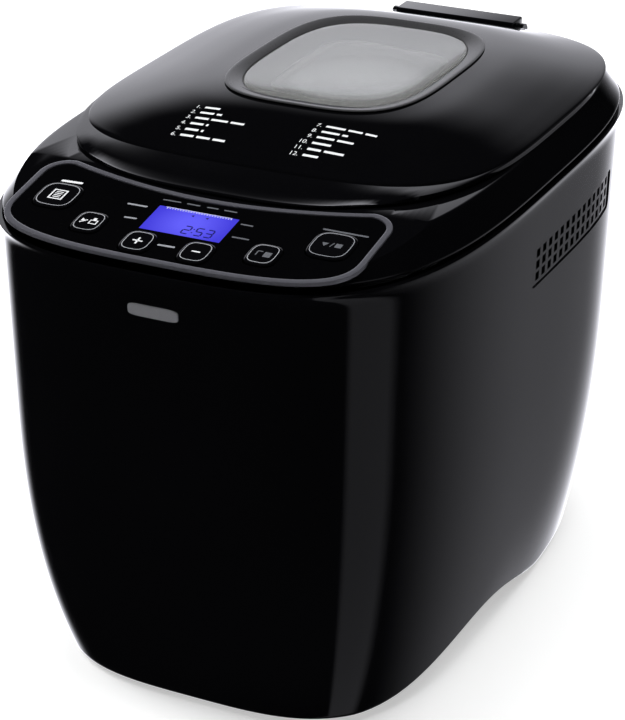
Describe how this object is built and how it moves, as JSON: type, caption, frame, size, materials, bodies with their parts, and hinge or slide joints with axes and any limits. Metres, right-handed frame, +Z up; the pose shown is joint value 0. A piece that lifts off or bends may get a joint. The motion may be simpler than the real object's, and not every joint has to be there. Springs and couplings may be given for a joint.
{
  "type": "bread machine",
  "caption": "Table-top bread machine with a sloping key panel, a hinged lid with a window, a lift-out pan and a belt-driven kneading paddle.",
  "frame": {"origin": "centre of the floor under the case, midway across its width and depth", "axes": "+Z up, the control panel and front face -Y, +X to the right seen from the front"},
  "size_m": [0.25, 0.373, 0.2814],
  "materials": {
    "case_black": "polished black moulding",
    "deck_black": "polished black moulding",
    "lid_black": "polished black moulding",
    "fascia_black": "gloss panel face",
    "key_black": "gloss keys with pale outlines",
    "inner_plastic": "fine matte moulding",
    "window_rim": "satin dark grey",
    "trim_silver": "satin silver",
    "rubber_foot": "black rubber",
    "seal_rubber": "silicone seal",
    "lens_blue": "back-lit blue window",
    "lid_glass": "clear glass",
    "oven_glass": "clear glass",
    "display_body": "moulded frame",
    "board_green": "circuit board",
    "switch_black": "moulded switch bodies",
    "oven_steel": "bright sheet",
    "plain_steel": "plated steel",
    "screw_steel": "plated screws",
    "heater_metal": "heat-darkened tube",
    "white_ceramic": "unglazed ceramic",
    "coated_pan": "non-stick coating",
    "cast_alloy": "cast alloy",
    "bearing_brass": "sintered bush",
    "nylon": "natural nylon",
    "belt_rubber": "toothed belt rubber",
    "wire_red": "sleeved wires",
    "capacitor_yellow": "film capacitor"
  },
  "bodies": {
    "case": {"body_shell": "case_black", "rear_panel": "case_black", "base_plate": "inner_plastic", "front_feet": "rubber_foot", "rear_feet": "rubber_foot", "foot_screws": "screw_steel", "side_vent_left": "case_black", "side_vent_right": "case_black", "top_deck": "deck_black", "deck_screws": "screw_steel", "panel_ring": "trim_silver", "panel_fascia": "fascia_black", "display_lens": "lens_blue", "display_module": "display_body", "control_board": "board_green", "key_switches": "switch_black", "oven_chamber": "oven_steel", "chamber_flange": "oven_steel", "heating_element": "heater_metal", "heater_bushes": "white_ceramic", "temperature_sensor": "plain_steel", "thermal_fuse": "white_ceramic", "pan_clips": "plain_steel", "drive_bearing": "cast_alloy", "drive_belt": "belt_rubber", "motor_body": "plain_steel", "motor_bracket": "oven_steel", "motor_grommets": "rubber_foot", "power_board": "board_green", "power_capacitor": "capacitor_yellow", "wiring_harness": "wire_red", "cord_gland": "inner_plastic", "hinge_bracket": "oven_steel"},
    "lid": {"lid_shell": "lid_black", "window_frame": "window_rim", "window_glass": "lid_glass", "lid_liner": "cast_alloy", "inner_glass": "oven_glass", "lid_seal": "seal_rubber", "hinge_barrel": "lid_black", "hinge_pins": "plain_steel", "lid_screws": "screw_steel"},
    "pan": {"bread_pan": "coated_pan", "pan_bushing": "bearing_brass"},
    "handle": {"pan_handle": "plain_steel"},
    "pan_drive": {"pan_shaft": "plain_steel", "pan_coupling": "cast_alloy"},
    "paddle": {"kneading_paddle": "coated_pan"},
    "drive": {"drive_shaft": "plain_steel", "large_pulley": "nylon", "drive_coupler": "cast_alloy", "shaft_clip": "plain_steel"},
    "motor_rotor": {"motor_shaft": "plain_steel", "small_pulley": "nylon"},
    "key_menu": {"menu_key": "key_black"},
    "key_option": {"option_key": "key_black"},
    "key_plus": {"plus_key": "key_black"},
    "key_minus": {"minus_key": "key_black"},
    "key_size": {"size_key": "key_black"},
    "key_start": {"start_key": "key_black"}
  },
  "joints": [
    {"name": "lid_hinge", "type": "hinge", "parent": "case", "child": "lid", "pos_m": [0, 0.171, 0.2616], "axis": [-1, 0, 0], "range_deg": [0, 80]},
    {"name": "pan_lift", "type": "slide", "parent": "case", "child": "pan", "axis": [0, 0, 1], "range_m": [0, 0.045]},
    {"name": "handle_swing", "type": "hinge", "parent": "pan", "child": "handle", "pos_m": [0, 0.036, 0.198], "axis": [1, 0, 0], "range_deg": [0, 88]},
    {"name": "pan_shaft_spin", "type": "hinge", "parent": "pan", "child": "pan_drive", "pos_m": [0, 0.036, 0.09], "axis": [0, 0, 1], "continuous": true},
    {"name": "paddle_lift", "type": "slide", "parent": "pan_drive", "child": "paddle", "axis": [0, 0, 1], "range_m": [0, 0.04]},
    {"name": "drive_spin", "type": "hinge", "parent": "case", "child": "drive", "pos_m": [0, 0.036, 0.05], "axis": [0, 0, 1], "continuous": true},
    {"name": "motor_spin", "type": "hinge", "parent": "case", "child": "motor_rotor", "pos_m": [0, -0.122, 0.05], "axis": [0, 0, 1], "continuous": true},
    {"name": "menu_press", "type": "slide", "parent": "case", "child": "key_menu", "axis": [0, -0.1788, 0.9839], "range_m": [-0.0008, 0], "stiffness_N_per_m": 400, "springref_m": 0.0004},
    {"name": "option_press", "type": "slide", "parent": "case", "child": "key_option", "axis": [0, -0.1788, 0.9839], "range_m": [-0.0008, 0], "stiffness_N_per_m": 400, "springref_m": 0.0004},
    {"name": "plus_press", "type": "slide", "parent": "case", "child": "key_plus", "axis": [0, -0.1788, 0.9839], "range_m": [-0.0008, 0], "stiffness_N_per_m": 400, "springref_m": 0.0004},
    {"name": "minus_press", "type": "slide", "parent": "case", "child": "key_minus", "axis": [0, -0.1788, 0.9839], "range_m": [-0.0008, 0], "stiffness_N_per_m": 400, "springref_m": 0.0004},
    {"name": "size_press", "type": "slide", "parent": "case", "child": "key_size", "axis": [0, -0.1788, 0.9839], "range_m": [-0.0008, 0], "stiffness_N_per_m": 400, "springref_m": 0.0004},
    {"name": "start_press", "type": "slide", "parent": "case", "child": "key_start", "axis": [0, -0.1788, 0.9839], "range_m": [-0.0008, 0], "stiffness_N_per_m": 400, "springref_m": 0.0004}
  ],
  "couplings": [
    {"joint": "pan_shaft_spin", "follows": "drive_spin", "ratio": 1},
    {"joint": "motor_spin", "follows": "drive_spin", "ratio": 4.5922}
  ]
}
